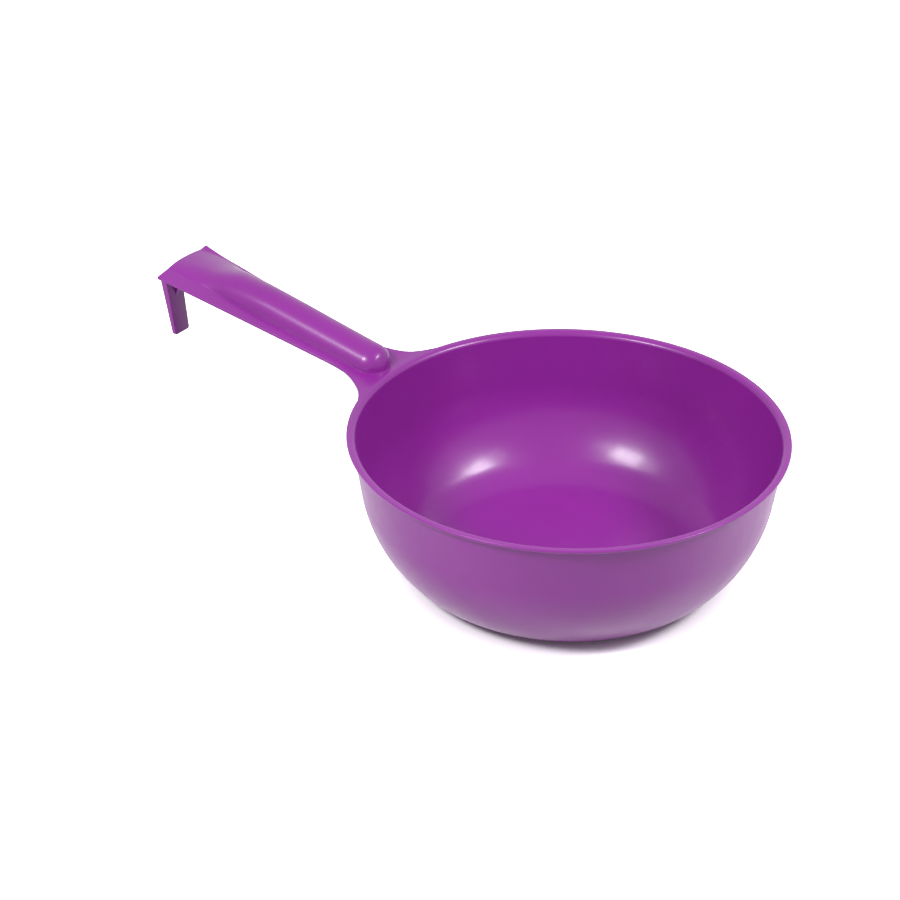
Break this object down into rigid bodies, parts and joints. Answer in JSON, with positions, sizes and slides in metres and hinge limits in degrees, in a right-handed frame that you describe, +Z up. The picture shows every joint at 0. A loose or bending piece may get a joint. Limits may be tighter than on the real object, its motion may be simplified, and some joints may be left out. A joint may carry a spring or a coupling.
{
  "type": "feed scoop",
  "caption": "Round bowl scoop for animal feed with a flat rim, a long channel-section handle and a hanging hook under its end.",
  "frame": {"origin": "centre of the flat base, on the surface that the scoop stands on", "axes": "+X along the handle, away from the bowl; +Y towards the side with the hook; +Z up, out of the bowl's mouth"},
  "size_m": [0.3588, 0.22, 0.1033],
  "materials": {
    "scoop_plastic": "glossy injection-moulded polypropylene, solid purple"
  },
  "bodies": {
    "root": {"bowl_base": "scoop_plastic", "bowl_corner": "scoop_plastic", "bowl_lower_wall": "scoop_plastic", "bowl_wall": "scoop_plastic", "rim_flange": "scoop_plastic", "handle_web": "scoop_plastic", "handle_root_dome": "scoop_plastic", "grip_arch": "scoop_plastic", "grip_flange_hook_side": "scoop_plastic", "grip_flange_plain_side": "scoop_plastic", "hanging_hook": "scoop_plastic", "hook_gusset": "scoop_plastic"}
  },
  "joints": []
}
